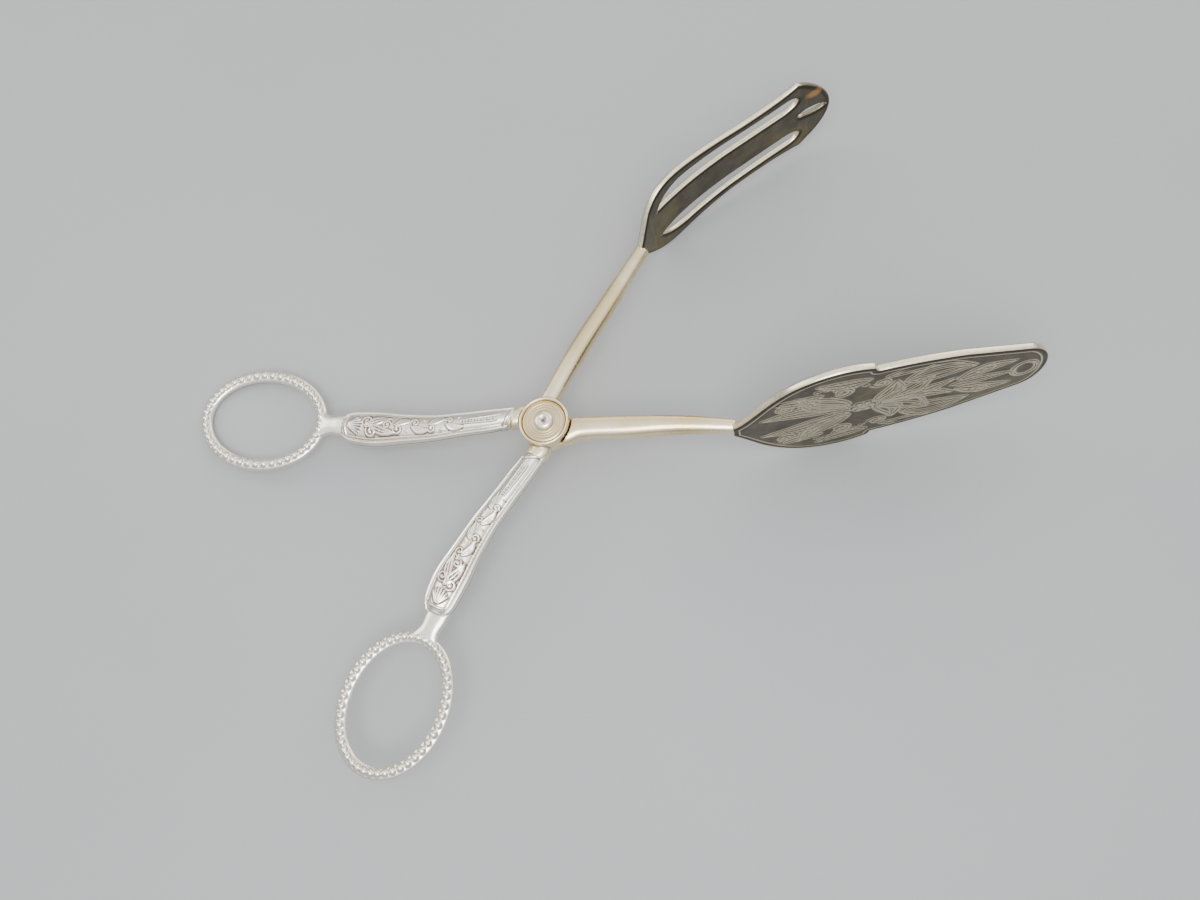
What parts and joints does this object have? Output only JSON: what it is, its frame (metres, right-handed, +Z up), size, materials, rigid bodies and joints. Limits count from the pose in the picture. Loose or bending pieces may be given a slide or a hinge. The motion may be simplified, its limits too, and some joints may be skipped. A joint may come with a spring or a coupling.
{
  "type": "serving tongs",
  "caption": "Scissor-action serving tongs with beaded finger rings, scroll handles, a solid spade jaw and a pierced fork jaw turning on a riveted boss.",
  "frame": {"origin": "bottom centre of the bounding box of the tongs as they lie open on a table", "axes": "+Z up from the table; +X from the spade side's finger ring towards the spade jaw; +Y towards the fork jaw"},
  "size_m": [0.205, 0.1554, 0.044],
  "materials": {
    "silver_plate": "polished silver plate with fine wear",
    "worn_plate": "silver plate worn warm",
    "tarnished_plate": "brown-grey tarnished silver plate",
    "bare_brass": "bare golden brass"
  },
  "bodies": {
    "spade_side": {"spade_jaw": "tarnished_plate", "spade_arm": "worn_plate", "spade_handle_front": "silver_plate", "spade_handle_back": "silver_plate", "spade_ring": "silver_plate", "pivot_rivet": "silver_plate", "pivot_disc": "bare_brass", "pivot_washer": "bare_brass"},
    "fork_side": {"fork_jaw": "tarnished_plate", "fork_arm": "worn_plate", "fork_handle_front": "silver_plate", "fork_handle_back": "silver_plate", "fork_ring": "silver_plate"}
  },
  "joints": [
    {"name": "pivot", "type": "hinge", "parent": "spade_side", "child": "fork_side", "pos_m": [-0.01357, 0.0003, 0.01323], "axis": [-0.1175, 0.0818, 0.9897], "range_deg": [-43.5, 22]}
  ]
}
